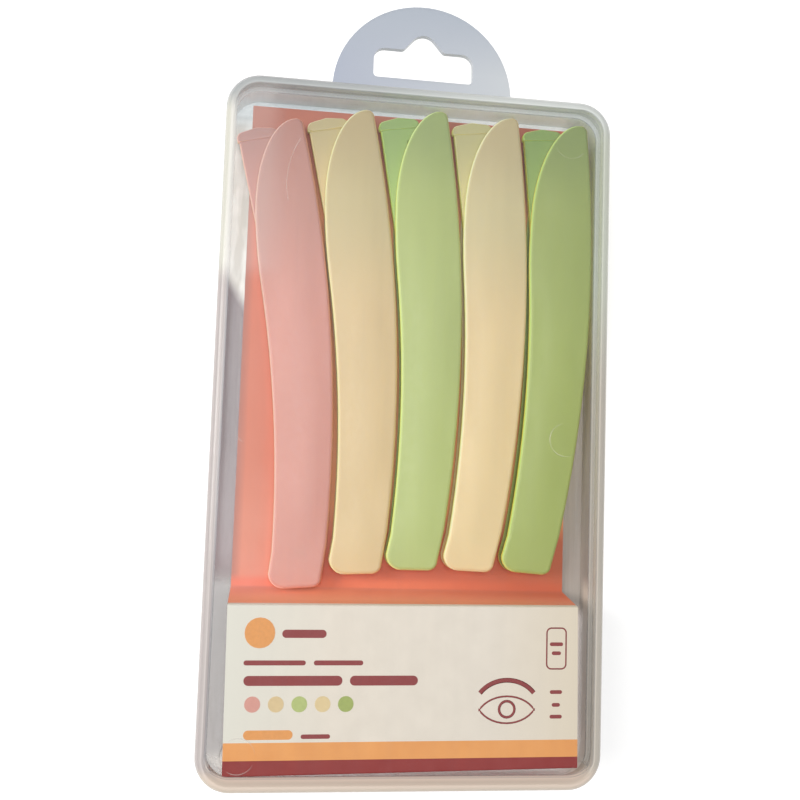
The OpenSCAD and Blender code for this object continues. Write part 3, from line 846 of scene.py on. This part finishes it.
def printed_loop(points, width):
    """A line of ink through the given places in millimetres, closed where it ends at its start."""
    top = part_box("insert_card")[1].z
    closed = points[0] == points[-1]
    if closed:
        points = points[:-1]
    curve = bpy.data.curves.new("line", "CURVE")
    curve.dimensions = "3D"
    line = curve.splines.new("POLY")
    line.points.add(len(points) - 1)
    for point, (x, y) in zip(line.points, points):
        point.co = (x * MM, y * MM, 0, 1)
    line.use_cyclic_u = closed
    curve.bevel_depth = width / 2 * MM
    curve.bevel_resolution = 1
    piece = bpy.data.objects.new("line", curve)
    scene.collection.objects.link(piece)
    select_only(piece)
    bpy.ops.object.convert(target="MESH")
    piece = bpy.context.object
    edit(piece)
    bpy.ops.transform.resize(value=(1, 1, INK_THICK / (width * MM)), center_override=(0, 0, 0))
    bpy.ops.transform.translate(value=(0, 0, top + INK_THICK / 2))
    done()
    return piece


def print_in_one(pieces, name, material):
    """Joins what one ink prints, and turns it with the card's front panel."""
    bpy.ops.object.select_all(action="DESELECT")
    for piece in pieces:
        piece.select_set(True)
    bpy.context.view_layer.objects.active = pieces[0]
    if len(pieces) > 1:
        bpy.ops.object.join()
    piece = bpy.context.object
    edit(piece)
    skew(piece, lambda v: True, PANEL_SKEW)
    done()
    settle(piece, name, material, "base")


def arc(x, y, radius_x, radius_y, start, stop, count):
    turns = [math.radians(start + (stop - start) * i / count) for i in range(count + 1)]
    return [(x + radius_x * math.cos(turn), y + radius_y * math.sin(turn)) for turn in turns]


def label_print():
    """Plain rules in place of words, a dot for each razor's colour, and a brow over an eye."""
    rules = [
        printed_bar(-23.2, -48.2, 8.2, 1.5), printed_bar(-30.1, -53.2, 11.4, 0.9),
        printed_bar(-17.2, -53.2, 9.2, 0.9), printed_bar(-30.0, -56.9, 18.2, 1.8),
        printed_bar(-10.4, -56.9, 12.8, 1.8), printed_bar(-19.2, -66.5, 5.4, 0.8)]
    for low, length in ((-49.6, 2.6), (-51.3, 1.8), (-58.6, 2.4), (-61.0, 1.6), (-63.2, 2.4)):
        rules.append(printed_bar(29.2 - length / 2, low, length, 0.7))
    rules.append(printed_loop(
        arc(30.2, -47.1, 0.9, 0.9, 0, 90, 5) + arc(28.2, -47.1, 0.9, 0.9, 90, 180, 5)
        + arc(28.2, -53.0, 0.9, 0.9, 180, 270, 5) + arc(30.2, -53.0, 0.9, 0.9, 270, 360, 5)
        + arc(30.2, -47.1, 0.9, 0.9, 0, 0, 1)[:1], 0.28))
    rules.append(printed_loop(arc(19.6, -61.6, 6.4, 5.6, 35, 145, 16), 0.9))
    rules.append(printed_loop(
        arc(19.6, -63.6, 6.0, 4.6, 25, 155, 14) + arc(19.6, -59.4, 6.0, 4.6, 205, 335, 14)
        + arc(19.6, -63.6, 6.0, 4.6, 25, 25, 1)[:1], 0.34))
    rules.append(printed_loop(arc(19.6, -61.4, 1.5, 1.5, 0, 360, 20), 0.5))
    print_in_one(rules, "maroon_print", ink("maroon_ink", (150, 74, 74)))
    warm = [printed_bar(-30.1, -50.1, 5.6, 5.6), printed_bar(-29.7, -66.6, 9.0, 1.7)]
    print_in_one(warm, "orange_print", ink("orange_ink", (234, 164, 100)))
    for i, number in enumerate(RAZORS):
        dot = printed_bar(-29.7 + 4.3 * i, -61.7, 2.9, 2.9)
        dot_ink = ink("dot_ink_" + number, shade(RAZOR_COLOURS[number], 0.97))
        print_in_one([dot], "colour_dot_" + number, dot_ink)


# Marks in the lid

def ring_marks(material):
    """Faint rings where the mould's pins pushed the lid out, hanging from its inner face."""
    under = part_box("insert_card")[1].z + LID_GAP
    bpy.ops.object.select_all(action="DESELECT")
    bpy.ops.mesh.primitive_circle_add(vertices=56, radius=RING_RADIUS, location=(0, 0, 0))
    ring = bpy.context.object
    edit(ring)
    bpy.ops.mesh.select_mode(type="EDGE")
    bpy.ops.mesh.extrude_region_move(TRANSFORM_OT_translate={"value": (0, 0, 0)})
    bpy.ops.transform.resize(value=(RING_HOLLOW, RING_HOLLOW, 1), center_override=(0, 0, 0))
    bpy.ops.mesh.select_all(action="SELECT")
    bpy.ops.mesh.extrude_region_move(TRANSFORM_OT_translate={"value": (0, 0, -RING_DEEP)})
    bpy.ops.mesh.select_all(action="SELECT")
    bpy.ops.mesh.normals_make_consistent(inside=False)
    pick(ring, "EDGE", lambda e: all(v.co.z < -RING_DEEP / 2 for v in e.verts))
    bpy.ops.mesh.bevel(offset=RING_ROUND, segments=2, affect="EDGES")
    done()
    smooth(ring)
    for i, (x, y) in enumerate(RING_PLACES):
        piece = bpy.data.objects.new("ring_mark_%d" % (i + 1), ring.data.copy())
        scene.collection.objects.link(piece)
        piece.location = (x * MM, y * MM, under)
        settle(piece, "ring_mark_%d" % (i + 1), material, "lid")
    bpy.data.objects.remove(ring)


def fine_line(name, places, width, level, material):
    """A hair-fine line on a level under the lid's plate, through places in millimetres."""
    curve = bpy.data.curves.new(name, "CURVE")
    curve.dimensions = "3D"
    line = curve.splines.new("NURBS")
    line.points.add(len(places) - 1)
    for point, (x, y) in zip(line.points, places):
        point.co = (x * MM, y * MM, level, 1)
    line.use_endpoint_u = True
    line.order_u = 4
    curve.bevel_depth = width / 2 * MM
    curve.bevel_resolution = 1
    curve.use_fill_caps = True
    piece = bpy.data.objects.new(name, curve)
    scene.collection.objects.link(piece)
    select_only(piece)
    bpy.ops.object.convert(target="MESH")
    settle(bpy.context.object, name, material, "lid")


# Stage

def pale_floor():
    """A plain white floor that keeps the soft shadow."""
    bpy.ops.object.select_all(action="DESELECT")
    bpy.ops.mesh.primitive_plane_add(size=4, location=(0, 0, FLOOR_LEVEL))
    floor = bpy.context.object
    floor.name = "floor"
    finish = Finish("pale_floor", Roughness=0.9, Specular_IOR_Level=0.1)
    finish.set("Base Color", finish.blend(finish.noise(3), (0.9, 0.9, 0.9, 1), (0.92, 0.92, 0.92, 1)))
    path = finish.add("ShaderNodeLightPath")
    seen = finish.maths("ADD", path.outputs["Is Camera Ray"], path.outputs["Is Glossy Ray"], clamp=True)
    finish.set("Emission Color", (1, 1, 1, 1))
    finish.set("Emission Strength", finish.times(seen, FLOOR_GLOW))
    floor.data.materials.append(finish.material)


def lamp(name, place, target, size, power, colour=(1, 1, 1)):
    data = bpy.data.lights.new(name, "AREA")
    data.shape = "DISK"
    data.size = size
    data.energy = power
    data.color = colour
    lamp_object = bpy.data.objects.new(name, data)
    scene.collection.objects.link(lamp_object)
    lamp_object.location = place
    lamp_object.rotation_euler = (Vector(target) - Vector(place)).to_track_quat("-Z", "Y").to_euler()


def studio():
    """Soft light: a bright sky, a broad lamp at the left and one nearly overhead."""
    world = bpy.data.worlds.new("studio")
    scene.world = world
    world.use_nodes = True
    world.node_tree.nodes["Background"].inputs["Color"].default_value = (1, 1, 1, 1)
    world.node_tree.nodes["Background"].inputs["Strength"].default_value = SKY_STRENGTH
    lamp("left_lamp", (-0.5, 0.05, 0.42), (0, 0, 0), 0.3, 1.8, (1.0, 0.98, 0.95))
    lamp("high_lamp", (-0.05, 0.03, 0.6), (0, 0, 0), 0.25, 1.05)


def camera():
    """The camera as fitted to the photograph."""
    data = bpy.data.cameras.new("camera")
    data.lens = CAMERA_LENS
    data.sensor_width = SENSOR_WIDTH
    data.clip_start = 0.01
    view = bpy.data.objects.new("camera", data)
    scene.collection.objects.link(view)
    view.location = CAMERA_PLACE
    view.rotation_mode = "ZYX"
    view.rotation_euler = [math.radians(angle) for angle in CAMERA_TURN]
    scene.camera = view


camera()
studio()
pale_floor()
scene.view_settings.view_transform = "Standard"

steel = ground_steel()
for number in RAZORS:
    slot = RAZOR_SLOTS[number]
    plastic = moulded_plastic(slot + "_" + number, RAZOR_COLOURS[number])
    body = "razor_" + number
    front, rear = "front_scale_" + number, "rear_scale_" + number
    handle_shell(front, "front_shell_" + number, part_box(front)[1].z, CROWN, plastic, body)
    handle_shell(rear, "rear_shell_" + number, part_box(rear)[0].z, 0, plastic, body)
    # The arm's colour is its handle's with painted light and shade, and no cooler painted shade on its
    # upper part.
    arm_painted_colour = shade(RAZOR_COLOURS[number], *ARM_PAINTED_LIGHT[number])
    arm_shape(number, moulded_plastic(slot + "_arm_" + number, arm_painted_colour, 0.0))
    dress("pivot_pin_" + number, steel)
    dress("blade_" + number, steel)
    dress("blade_guard_" + number, plastic)

folded_card(card_print(), card_board())
label_print()
ring_marks(mark_plastic("ring_mark", 0.46, 0.34))
fine_line("lid_scratch", SCRATCH_PLACES, SCRATCH_WIDTH, SCRATCH_LEVEL, mark_plastic("scratch", 0.3, 0.3))
dress("case_base", base_plastic())
dress("case_lid", lid_plastic())
